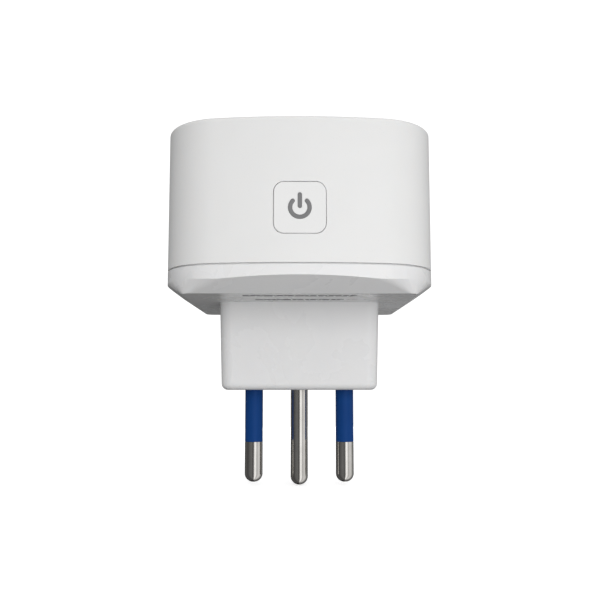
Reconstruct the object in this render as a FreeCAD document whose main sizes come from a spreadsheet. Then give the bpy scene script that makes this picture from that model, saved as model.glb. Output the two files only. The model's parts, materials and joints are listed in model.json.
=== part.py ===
import FreeCAD, Part
import math
import os
import re
import Sketcher

# A smart plug: a square housing with a socket in its front, carried on three round in-line pins.
# Frame: origin at the centre of the plug face, +Z towards the socket, the push button on -Y. Millimetres.

CELLS = {
    # pins
    "pinPitch": 13.0, "pinRadius": 2.55, "earthRadius": 2.45, "pinLength": 26.0, "earthLength": 26.8,
    "sleeveLength": 14.7, "sleeveInner": 1.8, "sleeveNeck": 2.35, "sleeveFoot": 1.0, "sleeveFootRadius": 2.95,
    "pinTail": 16.0, "pinTailRadius": 1.6, "collarIn": 1.0, "collarHigh": 1.5, "tipRound": 2.35,
    # plug block
    "blockWidth": 43.5, "blockDepth": 18.9, "blockTaper": 1.6, "blockCorner": 3.2, "blockRound": 1.7,
    "blockFloor": 3.0, "blockWall": 2.2, "blockTop": 26.5, "flangeThick": 1.5, "flangeReach": 1.6,
    "bossRadius": 4.4, "bossTop": 10.0, "reliefDeep": 0.3, "reliefGap": 0.1,
    # outer form
    "rearFlat": 24.4, "flatHalf": 30.3, "flatCorner": 2.5, "chamferRise": 5.7, "chamferRun": 9.0,
    "chamferCorner": 28.5, "seamLow": 31.0, "seamHigh": 31.6, "frontTop": 68.9, "bodyHalf": 36.6,
    "bulge": 140.0, "bodyCorner": 16.0, "wall": 2.3, "lip": 1.4, "lipGap": 0.1, "lipTop": 35.0,
    "frontRound": 1.1, "hookLength": 8.0, "hookOut": 0.6, "hookLow": 32.9, "hookHigh": 33.9,
    # button and its symbol
    "buttonHeight": 45.2, "buttonSize": 13.1, "buttonCorner": 2.6, "buttonGap": 0.3, "buttonRound": 0.35,
    "buttonFlange": 16.0, "buttonBack": 33.8, "flangeBack": 33.2, "stemEnd": 33.0, "stemRadius": 1.5,
    "symbolOuter": 2.95, "symbolStroke": 1.06, "symbolGap": 47.0, "symbolDepth": 0.8,
    "barLow": 45.0, "barHigh": 49.0,
    # tact switch and its board
    "switchSize": 6.0, "switchFront": 31.9, "switchRear": 28.9, "plungerRadius": 1.75, "plungerTip": 32.95,
    "plungerEnd": 30.6, "switchBore": 1.85, "switchFloor": 29.9, "buttonBoardBack": 27.9,
    "buttonBoardHalf": 9.0, "buttonBoardLow": 37.0, "buttonBoardHigh": 54.0,
    "lampHalf": 0.8, "lampLow": 49.4, "lampHigh": 50.4,
    # socket
    "wellRadius": 21.3, "faceRadius": 21.8, "cupRadius": 22.5, "wellFloor": 51.4, "cupFloor": 49.4,
    "faceLedge": 50.5, "cupFlange": 29.3,
    "cupFlangeLow": 60.6, "cupFlangeTop": 62.1, "cupScrewPlace": 18.5,
    "entryInner": 9.5, "entryOuter": 13.0, "entryRadius": 2.75, "clipWidth": 4.0, "clipSlot": 5.0,
    "shutterTop": 49.2, "shutterLow": 47.6, "shutterTravel": 6.3, "shutterHalf": 17.4,
    "shutterNear": 3.6, "shutterFar": 10.0, "windowRadius": 2.9,
    "springRadius": 0.55, "springWire": 0.13, "springStop": 12.6, "springCoils": 11,
    "carrierTop": 47.4, "plateLow": 46.0, "carrierHalf": 19.2, "carrierDepth": 5.0, "plateDepth": 13.8,
    "chamberInner": 6.6, "chamberOuter": 17.3, "chamberDepth": 3.3, "leafThick": 0.6, "leafGap": 2.3,
    "contactLow": 34.0, "contactHigh": 45.5, "tubeOuter": 3.4, "tubeInner": 2.55,
    "strapLevel": 38.0, "strapDisc": 4.2, "strapOut": 22.8,
    "clipTop": 63.0, "clipIn": 19.6, "clipMiddle": 58.0,
    # boards and what stands on them
    "boardLow": 30.0, "boardTop": 31.6, "boardHalf": 30.5, "boardCorner": 10.5, "screwPlace": 24.5,
    "screwShank": 1.1, "screwHead": 2.1, "screwHeadHigh": 1.3, "screwBite": 3.4, "cupScrewBite": 4.0,
    "postRadius": 2.8,
    "relayLow": 3.2, "relayHigh": 22.2, "relayNear": 8.0, "relayFar": 23.5, "relayTop": 45.4,
    "relaySkin": 0.8, "relayBase": 33.0, "relayPivotX": 17.2, "relayPivotZ": 41.6, "relayCoreX": 11.0,
    "relayMiddle": 15.75, "yokeHalf": 4.5, "yokeThick": 1.1, "yokeWallHalf": 0.8, "coreRadius": 2.0,
    "coilRadius": 4.3, "armatureLow": 42.0, "armatureTop": 43.0, "armatureEdge": 0.5, "grooveGap": 0.06,
    "coreLeft": -24.0, "coreRight": -9.0, "coreNear": 12.0, "coreFar": 19.0, "coreTop": 44.0,
    "coreBar": 2.0, "windowWide": 3.0, "windingNear": 9.0, "windingFar": 22.0,
    "capacitorRadius": 4.2, "capacitorTop": 45.0, "leftCapacitorX": -20.0, "leftCapacitorY": -12.0,
    "rightCapacitorX": -13.0, "rightCapacitorY": -23.0, "varistorRadius": 4.5, "varistorPlace": 14.0,
    "varistorNear": -14.0, "varistorFar": -10.0, "varistorHeight": 36.2,
    "fuseRadius": 1.9, "fusePlace": -20.0, "fuseLeft": 9.0, "fuseRight": 19.0,
    "rectifierRight": -3.0, "rectifierFar": -10.0, "rectifierSide": 5.0, "rectifierHigh": 2.6,
    "wifiPlace": 29.0, "wifiThick": 1.0, "wifiHalf": 9.0, "wifiTop": 58.0,
    "shieldLow": 33.5, "shieldHigh": 47.5, "shieldHalf": 6.0, "shieldThick": 2.2,
    "strapWide": 5.0, "strapSide": 6.3, "strapTab": 2.4,
    "markThick": 0.05, "markHigh": 2.2, "topMarkHalf": 14.8, "topMarkNear": -26.4,
    "lowMarkHalf": 12.0, "lowMarkNear": -17.2,
}

doc = FreeCAD.newDocument("SmartPlug")
sheet = doc.addObject("Spreadsheet::Sheet", "Dimensions")
for row, (alias, number) in enumerate(CELLS.items(), 1):
    sheet.set(f"A{row}", alias)
    sheet.set(f"B{row}", str(number))
    sheet.setAlias(f"B{row}", alias)
doc.recompute()

X_AXIS, Z_AXIS = FreeCAD.Vector(1, 0, 0), FreeCAD.Vector(0, 0, 1)
TURNS = {
    "x": FreeCAD.Rotation(FreeCAD.Vector(0, 1, 0), 90),
    "y": FreeCAD.Rotation(X_AXIS, -90),
    "z": FreeCAD.Rotation(),
}
nodes = []


def formula(text):
    """Turns the names of cells in a formula into references to the sheet."""
    return re.sub(r"[A-Za-z]\w*", lambda name: "Dimensions." * (name[0] in CELLS) + name[0], text)


def value(text):
    """What a formula comes to, used to draw a sketch near its solved place."""
    return float(sheet.evalExpression(formula(text)))


def bind(thing, **sizes):
    for name, text in sizes.items():
        thing.setExpression(name, formula(text))
    return thing


def place(thing, x="0", y="0", z="0"):
    for axis, text in zip("xyz", (x, y, z)):
        thing.setExpression(f"Placement.Base.{axis}", formula(text))
    return thing


def node(label, thing):
    """Marks an object as a finished sub-part, to be written under its own name."""
    thing.Label = label
    nodes.append(thing)
    return thing


# Part primitives and booleans

def block(name, x, y, z):
    """A box between two formulas on each axis."""
    item = doc.addObject("Part::Box", name)
    place(item, x[0], y[0], z[0])
    spans = [f"({high}) - ({low})" for low, high in (x, y, z)]
    return bind(item, Length=spans[0], Width=spans[1], Height=spans[2])


def rod(name, axis, radius, centre, span):
    """A cylinder along one axis; centre gives its place on the two other axes, in order."""
    item = doc.addObject("Part::Cylinder", name)
    item.Placement.Rotation = TURNS[axis]
    spot = list(centre)
    spot.insert("xyz".index(axis), span[0])
    place(item, *spot)
    return bind(item, Radius=radius, Height=f"({span[1]}) - ({span[0]})")


def fused(name, *pieces):
    item = doc.addObject("Part::MultiFuse", name)
    item.Shapes = pieces
    item.Refine = True
    return item


def cut(name, base, *tools):
    item = doc.addObject("Part::Cut", name)
    item.Base = base
    item.Tool = tools[0] if len(tools) == 1 else fused(name + "Tools", *tools)
    item.Refine = True
    return item


def common(name, base, tool):
    item = doc.addObject("Part::Common", name)
    item.Base = base
    item.Tool = tool
    return item


def corners(place_):
    """Four spots, the same distance from the middle on x and y."""
    return [(x, y) for x in ("-" + place_, place_) for y in ("-" + place_, place_)]


def group(name, *pieces):
    item = doc.addObject("Part::Compound", name)
    item.Links = pieces
    return item


def oblong(name, radius, x, y, z):
    """A slot-shaped bar standing on Z, its round ends centred at the two ends of x or y."""
    ends = [(x[0], y[0]), (x[1], y[1])]
    caps = [rod(name + "End", "z", radius, end, z) for end in ends]
    if x[0] == x[1]:
        middle = block(name + "Middle", (f"{x[0]} - {radius}", f"{x[0]} + {radius}"), y, z)
    else:
        middle = block(name + "Middle", x, (f"{y[0]} - {radius}", f"{y[0]} + {radius}"), z)
    return fused(name, middle, *caps)


# Sketches

def sketchOn(body, name, plane, offset="0"):
    sketch = body.newObject("Sketcher::SketchObject", name)
    support = next(item for item in body.Origin.OriginFeatures if item.Role == plane)
    sketch.AttachmentSupport = [(support, "")]
    sketch.MapMode = "FlatFace"
    sketch.setExpression("AttachmentOffset.Base.z", formula(offset))
    return sketch


def freeSketch(name, height):
    return place(doc.addObject("Sketcher::SketchObject", name), z=height)


def measure(sketch, kind, *where, text):
    """Adds a dimension and ties it to the sheet."""
    index = sketch.addConstraint(Sketcher.Constraint(kind, *where, value(text)))
    sketch.setExpression(f"Constraints[{index}]", formula(text))


def closeLoop(sketch, count):
    """Each piece of the loop runs smoothly into the next."""
    for item in range(count):
        sketch.addConstraint(Sketcher.Constraint("Tangent", item, 2, (item + 1) % count, 1))


def roundedRectangle(sketch, width, depth, corner):
    """A rectangle round the sketch's origin, with round corners."""
    w, d, r = value(width) / 2, value(depth) / 2, value(corner)
    middles = [(w - r, r - d), (w - r, d - r), (r - w, d - r), (r - w, r - d)]
    for turn, (x, y) in enumerate(middles):
        start = (turn - 1) * math.pi / 2
        arc = Part.ArcOfCircle(Part.Circle(FreeCAD.Vector(x, y, 0), Z_AXIS, r), start, start + math.pi / 2)
        before = middles[turn - 1]
        out = FreeCAD.Vector(math.cos(start), math.sin(start), 0) * r
        line = Part.LineSegment(FreeCAD.Vector(*before, 0) + out, FreeCAD.Vector(x, y, 0) + out)
        sketch.addGeometry([line, arc])
    closeLoop(sketch, 8)
    for line, kind in ((0, "Horizontal"), (4, "Horizontal"), (2, "Vertical"), (6, "Vertical")):
        sketch.addConstraint(Sketcher.Constraint(kind, line))
    for arc in (3, 5, 7):
        sketch.addConstraint(Sketcher.Constraint("Equal", 1, arc))
    sketch.addConstraint(Sketcher.Constraint("Symmetric", 1, 3, 5, 3, -1, 1))
    measure(sketch, "Radius", 1, text=corner)
    measure(sketch, "DistanceX", 6, 1, 2, 1, text=width)
    measure(sketch, "DistanceY", 0, 1, 4, 1, text=depth)


def bowedSquare(sketch, inset="0"):
    """The plan of the housing: four slightly bowed sides joined by large round corners."""
    half, side, corner = (value(f"{cell} - ({inset})") for cell in ("bodyHalf", "bulge", "bodyCorner"))
    lead = side - half
    middle = (math.sqrt(2 * (side - corner) ** 2 - lead ** 2) - lead) / 2
    sweep = math.atan2(middle, middle + lead)
    for turn in range(4):
        facing = (turn - 1) * math.pi / 2
        out = FreeCAD.Vector(math.cos(facing), math.sin(facing), 0)
        along = FreeCAD.Vector(-out.y, out.x, 0)
        bow = Part.Circle(out * -lead, Z_AXIS, side)
        turned = Part.Circle((out + along) * middle, Z_AXIS, corner)
        sketch.addGeometry(Part.ArcOfCircle(bow, facing - sweep, facing + sweep))
        sketch.addGeometry(Part.ArcOfCircle(turned, facing + sweep, facing + math.pi / 2 - sweep))
    closeLoop(sketch, 8)
    for bow in (2, 4, 6):
        sketch.addConstraint(Sketcher.Constraint("Equal", 0, bow))
        sketch.addConstraint(Sketcher.Constraint("Equal", 1, bow + 1))
    for bow, axis in ((0, -2), (2, -1), (4, -2), (6, -1)):
        sketch.addConstraint(Sketcher.Constraint("PointOnObject", bow, 3, axis))
    measure(sketch, "Radius", 0, text=f"bulge - ({inset})")
    measure(sketch, "Radius", 1, text=f"bodyCorner - ({inset})")
    measure(sketch, "DistanceX", -1, 1, 6, 3, text="bulge - bodyHalf")
    measure(sketch, "DistanceX", 2, 3, -1, 1, text="bulge - bodyHalf")


def polygon(sketch, points):
    """A closed outline of straight lines through formula points."""
    spots = [FreeCAD.Vector(value(x), value(y), 0) for x, y in points]
    count = len(points)
    for item in range(count):
        sketch.addGeometry(Part.LineSegment(spots[item], spots[(item + 1) % count]))
    for item, (x, y) in enumerate(points):
        sketch.addConstraint(Sketcher.Constraint("Coincident", item - 1 if item else count - 1, 2, item, 1))
        for kind, text, axis in (("DistanceX", x, -2), ("DistanceY", y, -1)):
            if text == "0":
                sketch.addConstraint(Sketcher.Constraint("PointOnObject", item, 1, axis))
            else:
                measure(sketch, kind, -1, 1, item, 1, text=text)


def circle(sketch, radius, x="0"):
    sketch.addGeometry(Part.Circle(FreeCAD.Vector(value(x), 0, 0), Z_AXIS, value(radius)))
    item = sketch.GeometryCount - 1
    measure(sketch, "Radius", item, text=radius)
    sketch.addConstraint(Sketcher.Constraint("PointOnObject", item, 3, -1))
    if x == "0":
        sketch.addConstraint(Sketcher.Constraint("PointOnObject", item, 3, -2))
    else:
        measure(sketch, "DistanceX", -1, 1, item, 3, text=x)


# PartDesign features

def newBody(name):
    return doc.addObject("PartDesign::Body", name)


def pad(body, name, sketch, length, **extra):
    feature = body.newObject("PartDesign::Pad", name)
    feature.Profile = sketch
    bind(feature, Length=length, **extra)
    doc.recompute()
    return feature


def pocket(body, name, sketch, depth):
    """Cuts against the sketch's normal and makes sure that something was cut."""
    before = body.Shape.Volume
    feature = body.newObject("PartDesign::Pocket", name)
    feature.Profile = sketch
    bind(feature, Length=depth)
    doc.recompute()
    if body.Shape.Volume > before - 0.01:
        raise RuntimeError(f"{name} cut nothing")
    return feature


def turned(body, name, sketch):
    feature = body.newObject("PartDesign::Revolution", name)
    feature.Profile = sketch
    feature.ReferenceAxis = (sketch, ["V_Axis"])
    feature.Angle = 360
    doc.recompute()
    return feature


def rounded(body, name, radius, test):
    """Rounds the edges of the body's last feature that pass a test."""
    last = body.Tip
    edges = [f"Edge{count}" for count, edge in enumerate(last.Shape.Edges, 1) if test(edge)]
    feature = body.newObject("PartDesign::Fillet", name)
    feature.Base = (last, edges)
    bind(feature, Radius=radius)
    doc.recompute()
    return feature


def level(height):
    """A test for edges that lie at one height."""
    target = value(height)
    return lambda edge: abs(edge.BoundBox.ZMin - target) < 0.01 and abs(edge.BoundBox.ZMax - target) < 0.01


# Pins and their sleeves

def makePin(label, x, radius, length, stepped):
    """A round pin: bullet tip, thin neck under the sleeve, and a collar and a tail inside the block."""
    body = newBody(label)
    profile = sketchOn(body, label + "Profile", "XZ_Plane")
    shoulder = "-sleeveLength" if stepped else "0"
    outline = [("0", f"-{length}"), (radius, f"-{length}"), (radius, shoulder)]
    outline += [("sleeveInner", shoulder), ("sleeveInner", "bossTop")]
    collar = "bossTop + collarHigh"
    outline += [("bossRadius - collarIn", "bossTop"), ("bossRadius - collarIn", collar)]
    outline += [("pinTailRadius", collar), ("pinTailRadius", "pinTail"), ("0", "pinTail")]
    polygon(profile, outline)
    turned(body, label + "Turned", profile)
    rounded(body, label + "Tip", "tipRound", level(f"-{length}"))
    return node(label, place(body, x=x))


def makeSleeve(label, x):
    """The coloured insulating sleeve, flush with the metal below it and set into the block above."""
    outside = rod(label + "Outside", "z", "pinRadius", (x, "0"), ("-sleeveLength", "0"))
    neck = rod(label + "Neck", "z", "sleeveNeck", (x, "0"), ("0", "sleeveFoot"))
    foot = rod(label + "Foot", "z", "sleeveFootRadius", (x, "0"), ("sleeveFoot", "blockFloor"))
    inside = rod(label + "Inside", "z", "sleeveInner", (x, "0"), ("-sleeveLength", "blockFloor"))
    return node(label, cut(label, fused(label + "Solid", outside, neck, foot), inside))


for side, x in (("line", "-pinPitch"), ("neutral", "pinPitch")):
    makePin(side + "_pin", x, "pinRadius", "pinLength", True)
    makeSleeve(side + "_pin_sleeve", x)
makePin("earth_pin", "0", "earthRadius", "earthLength", False)


# Plug block: a hollow tapered block with a flange that rests inside the rear cover

def makePlugBlock():
    body = newBody("BlockBody")
    face = sketchOn(body, "BlockFace", "XY_Plane")
    roundedRectangle(face, "blockWidth", "blockDepth", "blockCorner")
    # Pad measures its taper in degrees, and a negative one widens upwards.
    pad(body, "BlockPad", face, "blockTop", TaperAngle="blockTaper")
    rounded(body, "BlockEdge", "blockRound", level("0"))
    rim = "2 * (blockTop * tan(blockTaper) + flangeReach)"
    flange = sketchOn(body, "BlockFlange", "XY_Plane", "blockTop")
    roundedRectangle(flange, f"blockWidth + {rim}", f"blockDepth + {rim}", "blockCorner + flangeReach")
    pad(body, "FlangePad", flange, "flangeThick")
    hollow = sketchOn(body, "BlockHollow", "XY_Plane", "blockTop + flangeThick")
    roundedRectangle(hollow, "blockWidth - 2 * blockWall", "blockDepth - 2 * blockWall", "blockCorner - 1")
    pocket(body, "BlockHollowPocket", hollow, "blockTop + flangeThick - blockFloor")
    bosses = sketchOn(body, "PinBosses", "XY_Plane", "blockFloor")
    for x in ("-pinPitch", "0", "pinPitch"):
        circle(bosses, "bossRadius", x)
    pad(body, "BossPad", bosses, "bossTop - blockFloor")
    necks = sketchOn(body, "NeckHoles", "XY_Plane", "bossTop")
    for x in ("-pinPitch", "0", "pinPitch"):
        circle(necks, "sleeveInner", x)
    pocket(body, "NeckPocket", necks, "bossTop")
    holes = [rod("EarthRelief", "z", "earthRadius + reliefGap", ("0", "0"), ("-1", "reliefDeep"))]
    for x in ("-pinPitch", "pinPitch"):
        holes.append(rod("SleeveRelief", "z", "pinRadius + reliefGap", (x, "0"), ("-1", "reliefDeep")))
        holes.append(rod("SleeveHole", "z", "sleeveNeck", (x, "0"), ("-1", "sleeveFoot")))
        holes.append(rod("SleeveSeat", "z", "sleeveFootRadius", (x, "0"), ("sleeveFoot", "blockFloor")))
    return node("plug_block", cut("plug_block", body, *holes))


makePlugBlock()


# Rear cover: bowed prism met by a four-sided bevel, hollow, with a tongue, hooks and board posts

def outlinePrism(name, inset, low, high):
    plan = freeSketch(name + "Plan", low)
    bowedSquare(plan, inset)
    solid = doc.addObject("Part::Extrusion", name)
    solid.Base = plan
    solid.Dir = Z_AXIS
    solid.Solid = True
    return bind(solid, LengthFwd=f"({high}) - ({low})")


def bevelForm(name, inset, low):
    """A flared form on a square foot, whose four flat sides make the bevel of the rear cover."""
    foot = freeSketch(name + "Foot", low)
    roundedRectangle(foot, f"2 * (flatHalf - {inset})", f"2 * (flatHalf - {inset})", "flatCorner")
    head = freeSketch(name + "Head", f"{low} + chamferRise")
    spread = f"2 * (flatHalf + chamferRun - {inset})"
    roundedRectangle(head, spread, spread, "chamferCorner")
    loft = doc.addObject("Part::Loft", name)
    loft.Sections = [foot, head]
    loft.Solid = True
    loft.Ruled = True
    return loft


def makeRearCover():
    prism = outlinePrism("CoverPrism", "0", "rearFlat - 1", "rearFlat + chamferRise")
    shell = common("CoverFoot", bevelForm("CoverBevel", "0", "rearFlat"), prism)
    band = outlinePrism("CoverBand", "0", "rearFlat + chamferRise - 0.5", "seamLow")
    tongue = outlinePrism("CoverTongue", "wall + lipGap", "seamLow - 1", "lipTop")
    hooks = []
    reach = "bodyHalf - wall - lipGap"
    for sign in ("", "-"):
        span = sorted((f"{sign}({reach} - lip)", f"{sign}({reach} + hookOut)"), key=value)
        wide, high = ("-hookLength / 2", "hookLength / 2"), ("hookLow", "hookHigh")
        hooks += [block("HookX", span, wide, high), block("HookY", wide, span, high)]
    outside = fused("CoverOutside", shell, band, tongue, *hooks)
    hollow = outlinePrism("CoverHollow", "wall + lipGap + lip", "rearFlat + 3.6", "lipTop + 1")
    bowl = bevelForm("CoverBowl", "2.2", "rearFlat + 2")
    limit = outlinePrism("CoverLimit", "wall + lipGap + lip", "rearFlat + 1", "seamLow")
    bowlTop = common("CoverBowlTop", bowl, limit)
    posts = []
    for spot in corners("screwPlace"):
        post = rod("BoardPost", "z", "postRadius", spot, ("rearFlat + 1", "boardLow"))
        bore = rod("PostBore", "z", "screwShank", spot, ("boardLow - screwBite", "boardLow"))
        posts.append(cut("BoredPost", post, bore))
    window = freeSketch("CoverWindow", "rearFlat - 1")
    grown = "2 * blockTop * tan(blockTaper) + 0.1"
    roundedRectangle(window, f"blockWidth + {grown}", f"blockDepth + {grown}", "blockCorner + 0.6")
    opening = doc.addObject("Part::Extrusion", "CoverOpening")
    opening.Base = window
    opening.Dir = Z_AXIS
    opening.Solid = True
    bind(opening, LengthFwd="4")
    open_ = cut("CoverShell", outside, bowlTop, hollow, opening)
    return node("rear_cover", fused("rear_cover", open_, *posts))


makeRearCover()


# Front housing: the bowed box with a round opening for the socket and a square one for the button

def makeFrontHousing():
    body = newBody("HousingBody")
    plan = sketchOn(body, "HousingPlan", "XY_Plane", "seamHigh")
    bowedSquare(plan)
    pad(body, "HousingPad", plan, "frontTop - seamHigh")
    rounded(body, "HousingEdge", "frontRound", level("frontTop"))
    hollow = sketchOn(body, "HousingHollow", "XY_Plane", "frontTop - wall")
    bowedSquare(hollow, "wall")
    pocket(body, "HousingHollowPocket", hollow, "frontTop - wall - seamHigh")
    mouth = sketchOn(body, "SocketMouth", "XY_Plane", "frontTop")
    circle(mouth, "cupRadius + 0.1")
    pocket(body, "SocketMouthPocket", mouth, "wall + 1")
    square = sketchOn(body, "ButtonHole", "XZ_Plane", "bodyHalf + 1")
    square.setExpression("AttachmentOffset.Base.y", formula("buttonHeight"))
    grown = "buttonSize + 2 * buttonGap"
    roundedRectangle(square, grown, grown, "buttonCorner + buttonGap")
    pocket(body, "ButtonHolePocket", square, "wall + 2")
    catches = []
    inner = "bodyHalf - wall"
    for sign in ("", "-"):
        span = sorted((f"{sign}({inner} - 1)", f"{sign}({inner} + hookOut + 0.2)"), key=value)
        wide, high = ("-hookLength / 2 - 0.3", "hookLength / 2 + 0.3"), ("hookLow - 0.15", "hookHigh + 0.15")
        catches += [block("CatchX", span, wide, high), block("CatchY", wide, span, high)]
    posts = []
    for spot in corners("cupScrewPlace"):
        post = rod("CupPost", "z", "postRadius", spot, ("cupFlangeTop", "frontTop - 1"))
        bore = rod("CupPostBore", "z", "screwShank", spot, ("cupFlangeTop", "cupFlangeTop + cupScrewBite"))
        posts.append(cut("BoredCupPost", post, bore))
    shell = cut("HousingShell", body, *catches)
    return node("front_housing", fused("front_housing", shell, *posts))


makeFrontHousing()


# Button, its light-guide symbol, and the switch behind it

def makeSymbol():
    """A broken ring with a bar through its gap, both with round ends, set into the face of the button."""
    face = ("-bodyHalf", "-bodyHalf + symbolDepth")
    middle = "(symbolOuter - symbolStroke / 2)"
    disc = rod("SymbolDisc", "y", "symbolOuter", ("0", "buttonHeight"), face)
    disc.Placement.Rotation = TURNS["y"].multiply(FreeCAD.Rotation(Z_AXIS, 270 + CELLS["symbolGap"]))
    bind(disc, Angle="360 - 2 * symbolGap")
    inside = rod("SymbolInside", "y", "symbolOuter - symbolStroke", ("0", "buttonHeight"), face)
    pieces = [cut("SymbolRing", disc, inside)]
    for sign in ("", "-"):
        spot = (f"{sign}{middle} * sin(symbolGap)", f"buttonHeight + {middle} * cos(symbolGap)")
        pieces.append(rod("SymbolEnd", "y", "symbolStroke / 2", spot, face))
    ends = ("barLow + symbolStroke / 2", "barHigh - symbolStroke / 2")
    pieces.append(block("SymbolBar", ("-symbolStroke / 2", "symbolStroke / 2"), face, ends))
    pieces += [rod("SymbolBarEnd", "y", "symbolStroke / 2", ("0", end), face) for end in ends]
    broken = fused("SymbolRingEnds", *pieces[:3])
    return node("power_icon", group("power_icon", broken, fused("SymbolStem", *pieces[3:])))


def makeButton(symbol):
    """A square cap flush with the wall, a wider flange behind the wall, and a stem."""
    body = newBody("ButtonBody")
    cap = sketchOn(body, "ButtonCap", "XZ_Plane", "flangeBack")
    flange = sketchOn(body, "ButtonFlange", "XZ_Plane", "flangeBack")
    stem = sketchOn(body, "ButtonStem", "XZ_Plane", "stemEnd")
    for sketch in (cap, flange, stem):
        sketch.setExpression("AttachmentOffset.Base.y", formula("buttonHeight"))
    roundedRectangle(flange, "buttonFlange", "buttonFlange", "buttonCorner + 1")
    pad(body, "FlangePlate", flange, "buttonBack - flangeBack")
    roundedRectangle(cap, "buttonSize", "buttonSize", "buttonCorner")
    pad(body, "CapPad", cap, "bodyHalf - flangeBack")
    front = -value("bodyHalf")
    rounded(body, "CapEdge", "buttonRound", lambda edge: edge.BoundBox.YMax < front + 0.01)
    circle(stem, "stemRadius")
    pad(body, "StemPad", stem, "flangeBack - stemEnd + 0.2")
    return node("power_button", cut("power_button", body, symbol))


def makeSwitch():
    """Tact switch: a square body with a round well, and the plunger that the button presses."""
    spot = ("0", "buttonHeight")
    half = ("-switchSize / 2", "switchSize / 2")
    high = ("buttonHeight - switchSize / 2", "buttonHeight + switchSize / 2")
    case = block("SwitchCase", half, ("-switchFront", "-switchRear"), high)
    well = rod("SwitchWell", "y", "switchBore", spot, ("-switchFront", "-switchFloor"))
    node("switch_body", cut("switch_body", case, well))
    node("switch_plunger", rod("switch_plunger", "y", "plungerRadius", spot, ("-plungerTip", "-plungerEnd")))
    wide, deep = ("-buttonBoardHalf", "buttonBoardHalf"), ("-switchRear", "-buttonBoardBack")
    node("button_board", block("button_board", wide, deep, ("buttonBoardLow", "buttonBoardHigh")))
    wide, deep = ("-lampHalf", "lampHalf"), ("-switchRear - lampHalf", "-switchRear")
    node("status_led", block("status_led", wide, deep, ("lampLow", "lampHigh")))


makeButton(makeSymbol())
makeSwitch()


# Socket: round well, child-safety shutter, contacts in their carrier

def makeCup():
    """The wall of the well: a ring with a flange under the front wall and a rebate for the face."""
    body = newBody("CupBody")
    profile = sketchOn(body, "CupProfile", "XZ_Plane")
    polygon(profile, [
        ("faceRadius", "cupFloor"), ("cupRadius", "cupFloor"), ("cupRadius", "cupFlangeLow"),
        ("cupFlange", "cupFlangeLow"), ("cupFlange", "cupFlangeTop"), ("cupRadius", "cupFlangeTop"),
        ("cupRadius", "frontTop - 0.1"), ("wellRadius", "frontTop - 0.1"),
        ("wellRadius", "faceLedge"), ("faceRadius", "faceLedge"),
    ])
    turned(body, "CupTurned", profile)
    cuts = []
    for sign in ("", "-"):
        side = sorted((f"{sign}(wellRadius - 2)", f"{sign}(strapOut + leafThick + 0.2)"), key=value)
        wide = ("-clipSlot / 2", "clipSlot / 2")
        cuts.append(block("ClipSlot", wide, side, ("wellFloor + 1", "clipTop + 0.5")))
    cuts += [rod("CupScrewHole", "z", "screwShank + 0.1", spot, ("cupFlangeLow - 1", "cupFlangeTop + 1"))
             for spot in corners("cupScrewPlace")]
    node("socket_cup", cut("socket_cup", body, *cuts))


def makeFace():
    """The floor of the well: a disc whose rim sits in the cup's rebate, with entries for round pins."""
    rim = rod("FaceRim", "z", "faceRadius", ("0", "0"), ("cupFloor", "faceLedge"))
    disc = rod("FaceDisc", "z", "wellRadius - 0.1", ("0", "0"), ("cupFloor", "wellFloor"))
    through = ("cupFloor - 1", "wellFloor + 1")
    cuts = [rod("EarthEntry", "z", "entryRadius", ("0", "0"), through)]
    for sign in ("", "-"):
        ends = sorted((f"{sign}entryInner", f"{sign}entryOuter"), key=value)
        cuts.append(oblong("PinEntry", "entryRadius", ends, ("0", "0"), through))
    node("socket_face", cut("socket_face", fused("FaceBlank", rim, disc), *cuts))


def makeShutter():
    """A sliding plate: shut, it covers both pin entries, and its windows stand beside them."""
    high = ("shutterLow", "shutterTop")
    plate = block("ShutterPlate", ("-shutterHalf", "shutterHalf"), ("-shutterNear", "shutterFar"), high)
    windows = [oblong("EarthSlot", "windowRadius", ("0", "0"), ("0", "shutterTravel"), high)]
    for sign in ("", "-"):
        ends = sorted((f"{sign}entryInner", f"{sign}entryOuter"), key=value)
        windows.append(oblong("PinWindow", "windowRadius", ends, ("shutterTravel", "shutterTravel"), high))
    node("safety_shutter", cut("safety_shutter", plate, *windows))


def makeSpring():
    """The coil spring that pushes the shutter shut, lying along Y."""
    rest = "(springStop - shutterNear - 2 * springWire)"
    helix = bind(doc.addObject("Part::Helix", "SpringHelix"), Radius="springRadius", Height=rest)
    bind(helix, Pitch=f"{rest} / springCoils")
    wire = bind(doc.addObject("Part::Circle", "SpringWire"), Radius="springWire")
    wire.Placement.Rotation = FreeCAD.Rotation(X_AXIS, 90)
    place(wire, x="springRadius")
    sweep = doc.addObject("Part::Sweep", "shutter_spring")
    sweep.Sections = [wire]
    sweep.Spine = (helix, [])
    sweep.Solid = True
    sweep.Frenet = True
    sweep.Placement.Rotation = TURNS["y"]
    place(sweep, y="-springStop + springWire", z="(shutterLow + shutterTop) / 2")
    return node("shutter_spring", sweep)


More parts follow.
